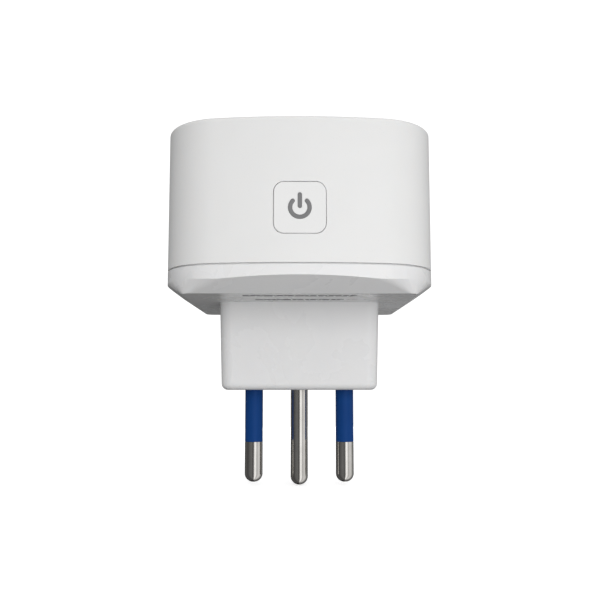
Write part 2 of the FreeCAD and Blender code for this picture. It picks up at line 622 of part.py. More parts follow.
def makeCarrier():
    """The insulating block that holds the contacts, with the plate that the shutter slides on."""
    tower = block("CarrierTower", ("-carrierHalf", "carrierHalf"), ("-carrierDepth", "carrierDepth"),
                  ("boardTop", "plateLow + 0.5"))
    plate = block("CarrierPlate", ("-carrierHalf", "carrierHalf"), ("-plateDepth", "plateDepth"),
                  ("plateLow", "carrierTop"))
    rails = []
    for sign in ("", "-"):
        span = sorted((f"{sign}(shutterHalf + 0.15)", f"{sign}carrierHalf"), key=value)
        rails.append(block("ShutterRail", span, ("-plateDepth", "plateDepth"), ("plateLow", "cupFloor")))
    stop = block("SpringStop", ("-3", "3"), ("-plateDepth", "-springStop"), ("plateLow", "cupFloor"))
    through = ("boardTop - 1", "carrierTop + 1")
    depth = ("-chamberDepth", "chamberDepth")
    below = ("boardTop - 1", "strapLevel + leafThick + 0.1")
    wide = ("-clipWidth / 2 - 0.1", "clipWidth / 2 + 0.1")
    cuts = [rod("TubeChamber", "z", "tubeOuter + 0.1", ("0", "0"), through)]
    cuts.append(rod("StrapChamber", "z", "strapDisc + 0.1", ("0", "0"), below))
    cuts.append(block("StrapSlot", wide, ("-carrierDepth - 1", "carrierDepth + 1"), below))
    for sign in ("", "-"):
        span = sorted((f"{sign}chamberInner", f"{sign}chamberOuter"), key=value)
        cuts.append(block("ContactChamber", span, depth, ("boardTop - 1", "plateLow")))
        ends = sorted((f"{sign}entryInner", f"{sign}entryOuter"), key=value)
        high = ("plateLow - 1", "carrierTop + 1")
        cuts.append(oblong("CarrierEntry", "windowRadius", ends, ("0", "0"), high))
    solid = fused("CarrierSolid", tower, plate, *rails, stop)
    node("contact_carrier", cut("contact_carrier", solid, *cuts))


def makeContacts():
    """Two folded brass forks for line and neutral, a tube for earth and the strap with its two side clips."""
    web = "chamberOuter - 0.1"
    for label, sign in (("line_contact", "-"), ("neutral_contact", "")):
        leaf = sorted((f"{sign}(chamberInner + 0.4)", f"{sign}({web})"), key=value)
        back = sorted((f"{sign}({web} - leafThick)", f"{sign}({web})"), key=value)
        high = ("contactLow", "contactHigh")
        outer = "leafGap + leafThick"
        pieces = [
            block("LeafNear", leaf, (f"-({outer})", "-leafGap"), high),
            block("LeafFar", leaf, ("leafGap", outer), high),
            block("LeafWeb", back, (f"-({outer})", outer), high),
            block("LeafTail", back, ("-1.5", "1.5"), ("boardTop", "contactHigh")),
        ]
        node(label, fused(label, *pieces))
    strapTop = "strapLevel + leafThick"
    span = ("0", "0")
    tube = rod("TubeOutside", "z", "tubeOuter", span, (strapTop, "plateLow"))
    inside = rod("TubeInside", "z", "tubeInner", span, ("strapLevel", "plateLow"))
    node("earth_contact", cut("earth_contact", tube, inside))
    wide = ("-clipWidth / 2", "clipWidth / 2")
    strap = block("StrapFlat", wide, ("-strapOut", "strapOut"), ("strapLevel", strapTop))
    disc = rod("StrapDisc", "z", "strapDisc", span, ("strapLevel", strapTop))
    hole = rod("StrapHole", "z", "tubeInner", span, ("strapLevel - 1", f"{strapTop} + 1"))
    clips = []
    for name, sign in (("Near", "-"), ("Far", "")):
        points = [("strapOut", "strapLevel"), ("strapOut + leafThick", "strapLevel"),
                  ("strapOut + leafThick", "clipMiddle - 3"), ("clipIn + leafThick", "clipMiddle"),
                  ("strapOut + leafThick", "clipTop"), ("strapOut", "clipTop"), ("clipIn", "clipMiddle"),
                  ("strapOut", "clipMiddle - 3.4")]
        outline = doc.addObject("Sketcher::SketchObject", name + "ClipOutline")
        outline.Placement.Rotation = FreeCAD.Rotation(0.5, 0.5, 0.5, 0.5)
        place(outline, x="-clipWidth / 2")
        polygon(outline, [(sign + "(" + y + ")", z) for y, z in points])
        clip = doc.addObject("Part::Extrusion", name + "Clip")
        clip.Base = outline
        clip.Dir = X_AXIS
        clip.Solid = True
        clips.append(bind(clip, LengthFwd="clipWidth"))
    drilled = cut("StrapDrilled", fused("StrapRound", strap, disc), hole)
    node("earth_clips", fused("earth_clips", drilled, *clips))


makeCup()
makeFace()
makeShutter()
makeSpring()
makeCarrier()
makeContacts()


# Boards and the parts that stand on them

def makeBoard():
    """The main board, slotted so that long pins pushed into the socket can pass."""
    plan = freeSketch("BoardPlan", "boardLow")
    roundedRectangle(plan, "2 * boardHalf", "2 * boardHalf", "boardCorner")
    sheetOf = doc.addObject("Part::Extrusion", "BoardSheet")
    sheetOf.Base = plan
    sheetOf.Dir = Z_AXIS
    sheetOf.Solid = True
    bind(sheetOf, LengthFwd="boardTop - boardLow")
    through = ("boardLow - 1", "boardTop + 1")
    cuts = [rod("BoardEarthHole", "z", "windowRadius", ("0", "0"), through)]
    for sign in ("", "-"):
        ends = sorted((f"{sign}entryInner", f"{sign}entryOuter"), key=value)
        cuts.append(oblong("BoardSlot", "windowRadius", ends, ("0", "0"), through))
    cuts += [rod("BoardScrewHole", "z", "screwShank + 0.1", spot, through) for spot in corners("screwPlace")]
    node("main_board", cut("main_board", sheetOf, *cuts))


def makeScrews():
    """Four screws hold the board to the rear cover, and four hold the cup to the housing, heads inwards."""
    boardScrews, cupScrews = [], []
    for spot in corners("screwPlace"):
        shank = rod("ScrewShank", "z", "screwShank", spot, ("boardLow - screwBite", "boardTop"))
        head = rod("ScrewHead", "z", "screwHead", spot, ("boardTop", "boardTop + screwHeadHigh"))
        boardScrews.append(fused("BoardScrew", shank, head))
    for spot in corners("cupScrewPlace"):
        shank = rod("ScrewShank", "z", "screwShank", spot, ("cupFlangeLow", "cupFlangeTop + cupScrewBite"))
        head = rod("ScrewHead", "z", "screwHead", spot, ("cupFlangeLow - screwHeadHigh", "cupFlangeLow"))
        cupScrews.append(fused("CupScrew", shank, head))
    node("board_screws", group("board_screws", *boardScrews))
    node("cup_screws", group("cup_screws", *cupScrews))


def makeRelay():
    """A sugar-cube relay: base, cover, coil, an L-shaped yoke with its core, and the hinged armature."""
    x, y = ("relayLow", "relayHigh"), ("relayNear", "relayFar")
    node("relay_base", block("relay_base", x, y, ("boardTop", "relayBase")))
    case = block("RelayCase", x, y, ("relayBase", "relayTop"))
    inner = [(f"{low} + relaySkin", f"{high} - relaySkin") for low, high in (x, y)]
    room = block("RelayRoom", *inner, ("relayBase", "relayTop - relaySkin"))
    node("relay_cover", cut("relay_cover", case, room))
    deep = ("relayMiddle - yokeHalf", "relayMiddle + yokeHalf")
    wallFar, footTop = "relayPivotX + yokeWallHalf", "relayBase + yokeThick"
    foot = block("YokeFoot", ("relayCoreX - yokeHalf", wallFar), deep, ("relayBase", footTop))
    wall = block("YokeWall", ("relayPivotX - yokeWallHalf", wallFar), deep, ("relayBase", "relayPivotZ"))
    spot = ("relayCoreX", "relayMiddle")
    core = rod("YokeCore", "z", "coreRadius", spot, ("relayBase", "relayPivotZ - 0.2"))
    groove = rod("YokeGroove", "y", "armatureEdge + grooveGap", ("relayPivotX", "relayPivotZ"), deep)
    node("relay_yoke", cut("relay_yoke", fused("YokeSolid", foot, wall, core), groove))
    high = (footTop, "relayPivotZ - 0.8")
    outside = rod("CoilOutside", "z", "coilRadius", spot, high)
    node("relay_coil", cut("relay_coil", outside, rod("CoilInside", "z", "coreRadius", spot, high)))
    wide = ("relayCoreX - yokeHalf + 0.1", wallFar)
    plate = block("ArmaturePlate", wide, deep, ("armatureLow", "armatureTop"))
    edge = rod("ArmatureEdge", "y", "armatureEdge", ("relayPivotX", "relayPivotZ"), deep)
    node("relay_armature", fused("relay_armature", plate, edge))


def makeTransformer():
    """An iron frame with two windows, and the wound bobbin on its middle leg."""
    depth, high = ("coreNear", "coreFar"), ("boardTop + coreBar", "coreTop - coreBar")
    frame = block("CoreFrame", ("coreLeft", "coreRight"), depth, ("boardTop", "coreTop"))
    left = ("coreLeft + coreBar", "coreLeft + coreBar + windowWide")
    right = ("coreRight - coreBar - windowWide", "coreRight - coreBar")
    windows = [block("CoreWindow", side, ("coreNear - 1", "coreFar + 1"), high) for side in (left, right)]
    node("transformer_core", cut("transformer_core", frame, *windows))
    bobbin = block("Bobbin", (left[0], right[1]), ("windingNear", "windingFar"), high)
    leg = block("BobbinLeg", (left[1], right[0]), depth, high)
    node("transformer_winding", cut("transformer_winding", bobbin, leg))


def makeSupply():
    """The small parts of the power supply: capacitors, varistor, fuse and rectifier."""
    spots = (("leftCapacitorX", "leftCapacitorY"), ("rightCapacitorX", "rightCapacitorY"))
    caps = [rod("Capacitor", "z", "capacitorRadius", spot, ("boardTop", "capacitorTop")) for spot in spots]
    node("capacitors", group("capacitors", *caps))
    spot, deep = ("varistorPlace", "varistorHeight"), ("varistorNear", "varistorFar")
    node("varistor", rod("varistor", "y", "varistorRadius", spot, deep))
    spot, wide = ("fusePlace", "boardTop + fuseRadius + 0.1"), ("fuseLeft", "fuseRight")
    node("fuse", rod("fuse", "x", "fuseRadius", spot, wide))
    wide = ("rectifierRight - rectifierSide", "rectifierRight")
    deep = ("rectifierFar - rectifierSide", "rectifierFar")
    node("rectifier", block("rectifier", wide, deep, ("boardTop", "boardTop + rectifierHigh")))


def makeRadio():
    """The wireless module stands on edge beside the socket, with a shield over its chip."""
    x, y = ("wifiPlace", "wifiPlace + wifiThick"), ("-wifiHalf", "wifiHalf")
    node("wifi_board", block("wifi_board", x, y, ("boardTop", "wifiTop")))
    x, y = ("wifiPlace - shieldThick", "wifiPlace"), ("-shieldHalf", "shieldHalf")
    node("wifi_shield", block("wifi_shield", x, y, ("shieldLow", "shieldHigh")))


def makeStraps():
    """Flat straps, riveted to the pin tails, carry the current up to the main board."""
    sides = (("line_strap", "-pinPitch", ""), ("neutral_strap", "pinPitch", ""), ("earth_strap", "0", "-"))
    for label, x, sign in sides:
        wide = (f"{x} - strapWide / 2", f"{x} + strapWide / 2")
        flat = sorted((f"{sign}(-strapTab)", f"{sign}strapSide"), key=value)
        up = sorted((f"{sign}(strapSide - leafThick)", f"{sign}strapSide"), key=value)
        foot = block("StrapFoot", wide, flat, ("pinTail", "pinTail + leafThick"))
        node(label, fused(label, foot, block("StrapRise", wide, up, ("pinTail", "boardLow"))))


def makeMarks():
    """Plain bars where the rating print would be, on the flat of the rear cover."""
    z = ("rearFlat - markThick", "rearFlat")
    bars = []
    for half, near in (("topMarkHalf", "topMarkNear"), ("lowMarkHalf", "lowMarkNear")):
        bars.append(block("Mark", ("-" + half, half), (near, near + " + markHigh"), z))
    node("rear_marks", group("rear_marks", *bars))


makeBoard()
makeScrews()
makeRelay()
makeTransformer()
makeSupply()
makeRadio()
makeStraps()
makeMarks()

doc.recompute()
failed = [item.Label for item in doc.Objects if {"Invalid", "Error"} & set(item.State)]
failed += [item.Label for item in nodes if item.Shape.isNull() or not item.Shape.isValid()]
if failed:
    raise RuntimeError("failed: " + ", ".join(failed))
os.makedirs("parts", exist_ok=True)
for item in nodes:
    item.Shape.exportStep(f"parts/{item.Label}.step")
    box = item.Shape.BoundBox
    print(f"{item.Label:22} {item.Shape.Volume:9.1f} mm3 {len(item.Shape.Solids)} solid(s)",
          [round(number, 2) for number in (box.XMin, box.XMax, box.YMin, box.YMax, box.ZMin, box.ZMax)])
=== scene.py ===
import bpy
import json
import math
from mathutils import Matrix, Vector


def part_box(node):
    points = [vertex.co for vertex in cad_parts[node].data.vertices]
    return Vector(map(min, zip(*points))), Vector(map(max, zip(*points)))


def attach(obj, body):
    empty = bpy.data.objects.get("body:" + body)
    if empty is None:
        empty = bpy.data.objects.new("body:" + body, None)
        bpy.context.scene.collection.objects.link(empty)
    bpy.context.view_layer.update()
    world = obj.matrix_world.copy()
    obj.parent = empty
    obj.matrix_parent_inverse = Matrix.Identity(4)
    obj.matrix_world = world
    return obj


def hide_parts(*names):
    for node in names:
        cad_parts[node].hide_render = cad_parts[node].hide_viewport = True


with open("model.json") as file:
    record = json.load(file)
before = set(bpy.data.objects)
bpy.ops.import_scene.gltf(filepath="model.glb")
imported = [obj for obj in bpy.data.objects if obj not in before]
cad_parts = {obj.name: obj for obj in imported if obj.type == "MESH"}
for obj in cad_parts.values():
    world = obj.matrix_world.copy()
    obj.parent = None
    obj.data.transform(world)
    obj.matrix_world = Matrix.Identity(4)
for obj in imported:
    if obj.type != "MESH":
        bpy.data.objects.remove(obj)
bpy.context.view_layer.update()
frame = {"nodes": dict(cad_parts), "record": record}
mm = 0.001
near = 0.004  # places closer than this count as one, in mm
past = 1.0    # how far a cutter runs on past what it cuts, in mm
smoothUnder = 35  # degrees between faces


# small tools used by every piece

def deselectAll():
    if bpy.context.object and bpy.context.object.mode != "OBJECT":
        bpy.ops.object.mode_set(mode="OBJECT")
    bpy.ops.object.select_all(action="DESELECT")


def pick(piece):  # the only selected and active one
    deselectAll()
    piece.select_set(True)
    bpy.context.view_layer.objects.active = piece


def editMode(kind="VERT"):
    bpy.ops.object.mode_set(mode="EDIT")
    bpy.ops.mesh.select_mode(type=kind)


def objectMode():
    bpy.ops.object.mode_set(mode="OBJECT")


def selectAll():
    bpy.ops.mesh.select_all(action="SELECT")


def applyPlace():
    bpy.ops.object.transform_apply(location=True, rotation=True, scale=True)


def clearSelection(piece):
    objectMode()
    for part in (piece.data.vertices, piece.data.edges, piece.data.polygons):
        part.foreach_set("select", [False] * len(part))


def selectEdges(piece, test):  # test gets an edge's two ends, in mm
    clearSelection(piece)
    points = [vertex.co / mm for vertex in piece.data.vertices]
    for edge in piece.data.edges:
        edge.select = bool(test(*(points[i] for i in edge.vertices)))
    editMode("EDGE")


def selectVerts(piece, test):  # test gets a vertex's place, in mm
    clearSelection(piece)
    for vertex in piece.data.vertices:
        vertex.select = bool(test(vertex.co / mm))
    editMode("VERT")


def levelEdges(piece, height):  # edges lying at one height
    selectEdges(piece, lambda a, b: abs(a.z - height) < near and abs(b.z - height) < near)


def moveBy(x=0, y=0, z=0):
    bpy.ops.transform.translate(value=(x * mm, y * mm, z * mm))


def extrudeBy(x=0, y=0, z=0):
    bpy.ops.mesh.extrude_region_move(
        MESH_OT_extrude_region={}, TRANSFORM_OT_translate={"value": (x * mm, y * mm, z * mm)})


def bevelEdges(width, segments=6):  # of what is selected
    bpy.ops.mesh.bevel(offset=width * mm, segments=segments, affect="EDGES")
    objectMode()


def applyModifiers(piece):
    pick(piece)
    for modifier in list(piece.modifiers):
        bpy.ops.object.modifier_apply(modifier=modifier.name)


def carve(piece, cutter, operation="DIFFERENCE"):  # the cutter is thrown away
    modifier = piece.modifiers.new("carve", "BOOLEAN")
    modifier.operation = operation
    modifier.solver = "EXACT"
    modifier.object = cutter
    applyModifiers(piece)
    bpy.data.objects.remove(cutter)


def joinPieces(first, *others):
    deselectAll()
    for piece in (first, *others):
        piece.select_set(True)
    bpy.context.view_layer.objects.active = first
    bpy.ops.object.join()
    return first


def softEdges(piece, width, segments=3, angle=30):
    modifier = piece.modifiers.new("softEdges", "BEVEL")
    modifier.width = width * mm
    modifier.segments = segments
    modifier.limit_method = "ANGLE"
    modifier.angle_limit = math.radians(angle)
    applyModifiers(piece)


def mergeUp(piece, distance=0.002):
    pick(piece)
    editMode()
    selectAll()
    bpy.ops.mesh.remove_doubles(threshold=distance * mm)
    bpy.ops.mesh.normals_make_consistent(inside=False)
    objectMode()


def thicken(piece, x=0, y=0, z=0):  # a flat piece becomes a closed one
    pick(piece)
    editMode()
    selectAll()
    extrudeBy(x, y, z)
    objectMode()
    mergeUp(piece)


def standUp(piece, quarters, y, height):  # quarter turns about X, then up to its height
    piece.rotation_euler = (quarters * math.pi / 2, 0, 0)
    piece.location = (0, y * mm, height * mm)
    pick(piece)
    applyPlace()


def roundPlate(width, depth, corner, middle, segments=10):
    # a flat plate with round corners, lying at one height, in mm
    bpy.ops.mesh.primitive_plane_add(size=1, location=[m * mm for m in middle])
    plate = bpy.context.object
    plate.scale = (width * mm, depth * mm, 1)
    applyPlace()
    editMode()
    selectAll()
    bpy.ops.mesh.bevel(offset=corner * mm, segments=segments, affect="VERTICES", offset_type="OFFSET")
    objectMode()
    return plate


def rodPiece(radius, low, high, x=0, y=0, sides=64):  # a cutter or a blank, standing on Z
    bpy.ops.mesh.primitive_cylinder_add(
        vertices=sides, radius=radius * mm, depth=(high - low) * mm,
        location=(x * mm, y * mm, (low + high) / 2 * mm))
    applyPlace()
    return bpy.context.object


def drawProfile(points):
    # a chain of edges in the plane x = 0 through points (y, z), drawn by extruding one vertex
    bpy.ops.mesh.primitive_plane_add(size=1 * mm, location=(0, 0, 0))
    chain = bpy.context.object
    editMode()
    selectAll()
    bpy.ops.mesh.merge(type="CENTER")
    moveBy(0, *points[0])
    for (y0, z0), (y1, z1) in zip(points, points[1:]):
        extrudeBy(0, y1 - y0, z1 - z0)
    objectMode()
    return chain


def spinRound(centre, angle, steps):
    # sweeps the selection about a vertical axis, counter-clockwise from above; spin counts the other way
    bpy.ops.mesh.spin(steps=steps, angle=-math.radians(angle),
                      center=(centre[0] * mm, centre[1] * mm, 0), axis=(0, 0, 1))


def latheWhole(points, x=0, sides=72):  # a full turn of a profile of (radius, height)
    piece = drawProfile([(-radius, height) for radius, height in points])
    editMode()
    selectAll()
    spinRound((0, 0), 360, sides)
    selectAll()
    bpy.ops.mesh.remove_doubles(threshold=0.001 * mm)
    moveBy(x)
    bpy.ops.mesh.select_all(action="DESELECT")
    objectMode()
    mergeUp(piece)
    return piece


bowShape = {"half": 36.6, "bow": 140.0, "corner": 16.0, "bowSteps": 10, "cornerSteps": 16}


def bowedRing(points):
    # runs a profile round the plan of four bowed sides and four round corners
    half, bow, corner = (bowShape[k] for k in ("half", "bow", "corner"))
    lead = bow - half
    middle = (math.sqrt(2 * (bow - corner) ** 2 - lead ** 2) - lead) / 2
    sweep = math.degrees(math.atan2(middle, middle + lead))
    piece = drawProfile([(-half + inset, height) for inset, height in points])
    editMode()
    selectAll()
    for turn in range(4):
        side = Vector((0, lead)), Vector((middle, -middle)), Vector((-lead, 0))
        angle = turn * math.pi / 2
        across, along = math.cos(angle), math.sin(angle)
        spots = [(across * c.x - along * c.y, along * c.x + across * c.y) for c in side]
        spinRound(spots[0], sweep, bowShape["bowSteps"])
        spinRound(spots[1], 90 - 2 * sweep, bowShape["cornerSteps"])
        spinRound(spots[2], sweep, bowShape["bowSteps"])
    objectMode()
    mergeUp(piece)
    return piece


def fillLevel(piece, height):  # closes the ring of edges at one height
    levelEdges(piece, height)
    bpy.ops.mesh.edge_face_add()
    objectMode()


def finishPiece(piece, name, body, slot, replaced):
    piece.name = name
    piece.data.name = name
    pick(piece)
    applyPlace()
    mergeUp(piece)
    bpy.ops.object.shade_smooth_by_angle(angle=math.radians(smoothUnder))
    modifier = piece.modifiers.new("evenNormals", "WEIGHTED_NORMAL")
    modifier.keep_sharp = True
    applyModifiers(piece)
    piece.data.materials.clear()
    piece.data.materials.append(finishes[slot])
    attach(piece, body)
    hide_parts(replaced)
    print("made", name, len(piece.data.polygons), "faces")
    return piece


# shader groups, each placed in several finishes with its own values

def newGroup(name, inputs, outputs):
    group = bpy.data.node_groups.new(name, "ShaderNodeTree")
    for socket, (kind, value) in inputs.items():
        item = group.interface.new_socket(name=socket, in_out="INPUT", socket_type=kind)
        item.default_value = value
    for socket, kind in outputs.items():
        group.interface.new_socket(name=socket, in_out="OUTPUT", socket_type=kind)
    return group, group.nodes.new("NodeGroupInput"), group.nodes.new("NodeGroupOutput")


def addNode(tree, kind, **settings):
    node = tree.nodes.new("ShaderNode" + kind)
    for key, value in settings.items():
        if hasattr(node, key):
            setattr(node, key, value)
        else:
            node.inputs[key.replace("_", " ")].default_value = value
    return node


def mathNode(tree, operation, fixed=None):  # fixed stands in the second socket
    node = addNode(tree, "Math", operation=operation)
    if fixed is not None:
        node.inputs[1].default_value = fixed
    return node


def wire(tree, *pairs):
    for source, target in pairs:
        tree.links.new(source, target)


def spread(tree, source, low, high, fromLow=0.0, fromHigh=1.0):  # maps one range to another
    node = addNode(tree, "MapRange")
    node.inputs["From Min"].default_value = fromLow
    node.inputs["From Max"].default_value = fromHigh
    node.inputs["To Min"].default_value = low
    node.inputs["To Max"].default_value = high
    wire(tree, (source, node.inputs["Value"]))
    return node.outputs["Result"]


grainLook = {"pitShare": 0.35, "pitSmooth": 0.8, "speck": (0.03, 0.09)}


def makeMouldedGrain():
    # moulded plastic: a fine spark-eroded grain, and broad soft swirls where the melt flowed
    group, inside, outside = newGroup(
        "mouldedGrain",
        {"Grain": ("NodeSocketFloat", 5200.0), "Flow": ("NodeSocketFloat", 40.0)},
        {"Height": "NodeSocketFloat", "Swirl": "NodeSocketFloat", "Speck": "NodeSocketFloat"})
    place = addNode(group, "TexCoord").outputs["Object"]
    grain = addNode(group, "TexNoise", Detail=3.0, Roughness=0.62)
    pits = addNode(group, "TexVoronoi", feature="SMOOTH_F1")
    pits.inputs["Smoothness"].default_value = grainLook["pitSmooth"]
    flow = addNode(group, "TexNoise", Detail=2.0, Distortion=1.4)
    speck = addNode(group, "TexVoronoi", Scale=900.0)
    both = mathNode(group, "MULTIPLY_ADD", grainLook["pitShare"])
    dots = spread(group, speck.outputs["Distance"], 1.0, 0.0, *grainLook["speck"])
    wire(group, (place, grain.inputs["Vector"]), (place, pits.inputs["Vector"]),
         (place, flow.inputs["Vector"]),
         (place, speck.inputs["Vector"]), (inside.outputs["Grain"], grain.inputs["Scale"]),
         (inside.outputs["Grain"], pits.inputs["Scale"]), (inside.outputs["Flow"], flow.inputs["Scale"]),
         (pits.outputs["Distance"], both.inputs[0]), (grain.outputs["Fac"], both.inputs[2]),
         (both.outputs["Value"], outside.inputs["Height"]), (flow.outputs["Fac"], outside.inputs["Swirl"]),
         (dots, outside.inputs["Speck"]))
    return group


# what use leaves: where the film starts and is full, where a streak starts and is full, and for
# each set of streaks its turn in radians and how thin it is
wearLook = {"film": (0.42, 0.66), "streak": (0.72, 0.78), "sets": ((0.6, 14.0), (2.2, 18.0))}


def makeHandling():
    # a faint film of finger grease in patches, and short hair scratches
    group, inside, outside = newGroup(
        "handling",
        {"Patch": ("NodeSocketFloat", 55.0), "Scratch": ("NodeSocketFloat", 420.0)},
        {"Film": "NodeSocketFloat", "Scratches": "NodeSocketFloat"})
    place = addNode(group, "TexCoord").outputs["Object"]
    patch = addNode(group, "TexNoise", Detail=4.0, Roughness=0.7, Distortion=0.6)
    wire(group, (place, patch.inputs["Vector"]), (inside.outputs["Patch"], patch.inputs["Scale"]))
    marks = []
    for turn, squeeze in wearLook["sets"]:
        turned = addNode(group, "Mapping")
        turned.inputs["Rotation"].default_value = (turn * 0.4, turn, turn * 1.3)
        turned.inputs["Scale"].default_value = (1.0, squeeze, squeeze * 0.5)
        streak = addNode(group, "TexNoise", Detail=1.0)
        wire(group, (place, turned.inputs["Vector"]), (turned.outputs["Vector"], streak.inputs["Vector"]),
             (inside.outputs["Scratch"], streak.inputs["Scale"]))
        marks.append(spread(group, streak.outputs["Fac"], 0.0, 1.0, *wearLook["streak"]))
    most = mathNode(group, "MAXIMUM")
    wire(group, (marks[0], most.inputs[0]), (marks[1], most.inputs[1]),
         (spread(group, patch.outputs["Fac"], 0.0, 1.0, *wearLook["film"]), outside.inputs["Film"]),
         (most.outputs["Value"], outside.inputs["Scratches"]))
    return group


def makeTurningLines():
    # metal: fine lines left round a turned pin or along a rolled strip, with a cloudy plating
    group, inside, outside = newGroup(
        "turningLines",
        {"Stretch": ("NodeSocketVector", (40.0, 40.0, 9000.0)), "Cloud": ("NodeSocketFloat", 260.0)},
        {"Height": "NodeSocketFloat", "Cloudy": "NodeSocketFloat"})
    place = addNode(group, "TexCoord").outputs["Object"]
    scaled = addNode(group, "VectorMath", operation="MULTIPLY")
    lines = addNode(group, "TexNoise", Scale=1.0, Detail=2.0)
    cloud = addNode(group, "TexNoise", Detail=3.0, Roughness=0.6)
    wire(group, (place, scaled.inputs[0]), (inside.outputs["Stretch"], scaled.inputs[1]),
         (scaled.outputs["Vector"], lines.inputs["Vector"]), (place, cloud.inputs["Vector"]),
         (inside.outputs["Cloud"], cloud.inputs["Scale"]), (lines.outputs["Fac"], outside.inputs["Height"]),
         (cloud.outputs["Fac"], outside.inputs["Cloudy"]))
    return group


mouldedGrain = makeMouldedGrain()
handling = makeHandling()
turningLines = makeTurningLines()
print("shader groups ready")


# finishes

def newFinish(name):
    finish = bpy.data.materials.new(name)
    finish.use_nodes = True
    return finish, finish.node_tree, finish.node_tree.nodes["Principled BSDF"]


def placeGroup(tree, group, **values):
    node = tree.nodes.new("ShaderNodeGroup")
    node.node_tree = group
    for key, value in values.items():
        node.inputs[key].default_value = value
    return node.outputs


def blendColours(tree, mask, first, second):
    mix = addNode(tree, "Mix", data_type="RGBA")
    mix.inputs["A"].default_value = (*first, 1)
    mix.inputs["B"].default_value = (*second, 1)
    wire(tree, (mask, mix.inputs["Factor"]))
    return next(out for out in mix.outputs if out.type == "RGBA")


def bumpFrom(tree, height, depth):  # depth in mm
    bump = addNode(tree, "Bump", Strength=1.0)
    bump.inputs["Distance"].default_value = depth * mm
    wire(tree, (height, bump.inputs["Height"]))
    return bump.outputs["Normal"]


plasticLook = {"dust": (0.72, 0.70, 0.67, 1), "dustShare": 0.35, "scuff": 0.10, "coatRough": 0.12,
               "softDepth": 0.6, "softTint": (1.0, 0.9, 0.8)}  # softDepth in mm


def mouldedPlastic(name, colour, deep, rough, depth=0.004, film=0.06, coat=0.0, soft=0.0, specular=0.5):
    # colour is the plain tone, deep is the tone in the flow swirls
    finish, tree, shader = newFinish(name)
    plain = placeGroup(tree, mouldedGrain)
    worn = placeGroup(tree, handling)
    tone = blendColours(tree, spread(tree, plain["Swirl"], 0.0, 1.0, 0.3, 0.7), colour, deep)
    dust = addNode(tree, "Mix", data_type="RGBA", blend_type="MULTIPLY")
    dust.inputs["B"].default_value = plasticLook["dust"]
    faint = mathNode(tree, "MULTIPLY", plasticLook["dustShare"])
    shine = mathNode(tree, "MULTIPLY_ADD", -film)
    scuffed = mathNode(tree, "MULTIPLY_ADD", plasticLook["scuff"])
    swirled = spread(tree, plain["Swirl"], rough - 0.03, rough + 0.05)
    wire(tree, (plain["Speck"], faint.inputs[0]), (faint.outputs["Value"], dust.inputs["Factor"]),
         (tone, next(s for s in dust.inputs if s.name == "A" and s.type == "RGBA")),
         (next(s for s in dust.outputs if s.type == "RGBA"), shader.inputs["Base Color"]),
         (worn["Film"], shine.inputs[0]), (swirled, shine.inputs[2]),
         (worn["Scratches"], scuffed.inputs[0]), (shine.outputs["Value"], scuffed.inputs[2]),
         (scuffed.outputs["Value"], shader.inputs["Roughness"]),
         (bumpFrom(tree, plain["Height"], depth), shader.inputs["Normal"]))
    shader.inputs["Specular IOR Level"].default_value = specular
    if coat:
        shader.inputs["Coat Weight"].default_value = coat
        shader.inputs["Coat Roughness"].default_value = plasticLook["coatRough"]
    if soft:
        shader.inputs["Subsurface Weight"].default_value = soft
        shader.inputs["Subsurface Radius"].default_value = plasticLook["softTint"]
        shader.inputs["Subsurface Scale"].default_value = plasticLook["softDepth"] * mm
    return finish


metalLook = {"lineDepth": 0.0008, "scratchRough": 0.12, "patch": 120.0, "scratch": 700.0}


def platedMetal(name, colour, cloudy, rough, stretch=(40.0, 40.0, 9000.0)):
    finish, tree, shader = newFinish(name)
    lines = placeGroup(tree, turningLines, Stretch=stretch)
    worn = placeGroup(tree, handling, Patch=metalLook["patch"], Scratch=metalLook["scratch"])
    dull = mathNode(tree, "MULTIPLY_ADD", metalLook["scratchRough"])
    wire(tree, (blendColours(tree, spread(tree, lines["Cloudy"], 0.0, 1.0, 0.35, 0.65), colour, cloudy),
                shader.inputs["Base Color"]),
         (worn["Scratches"], dull.inputs[0]),
         (spread(tree, lines["Cloudy"], rough * 0.75, rough * 1.3, 0.3, 0.7), dull.inputs[2]),
         (dull.outputs["Value"], shader.inputs["Roughness"]),
         (bumpFrom(tree, lines["Height"], metalLook["lineDepth"]), shader.inputs["Normal"]))
    shader.inputs["Metallic"].default_value = 1.0
    return finish


def solderMask(name, colour, deep):  # green board with faint copper tracks under the lacquer
    finish, tree, shader = newFinish(name)
    place = addNode(tree, "TexCoord").outputs["Object"]
    tracks = addNode(tree, "TexBrick", offset=0.5, Scale=160.0)
    tracks.inputs["Mortar Size"].default_value = 0.03
    wire(tree, (place, tracks.inputs["Vector"]),
         (blendColours(tree, tracks.outputs["Fac"], deep, colour), shader.inputs["Base Color"]),
         (bumpFrom(tree, tracks.outputs["Fac"], 0.03), shader.inputs["Normal"]))
    shader.inputs["Roughness"].default_value = 0.35
    shader.inputs["Coat Weight"].default_value = 0.5
    return finish


def enamelledWire(name, colour, deep):  # close turns, one layer showing; the valleys between turns take the dark second tone, a painted shade
    finish, tree, shader = newFinish(name)
    place = addNode(tree, "TexCoord").outputs["Object"]
    turns = addNode(tree, "TexWave", bands_direction="Z", Scale=1400.0, Distortion=0.4)
    wire(tree, (place, turns.inputs["Vector"]),
         (blendColours(tree, turns.outputs["Fac"], deep, colour), shader.inputs["Base Color"]),
         (bumpFrom(tree, turns.outputs["Fac"], 0.05), shader.inputs["Normal"]))
    shader.inputs["Metallic"].default_value = 0.7
    shader.inputs["Roughness"].default_value = 0.28
    return finish


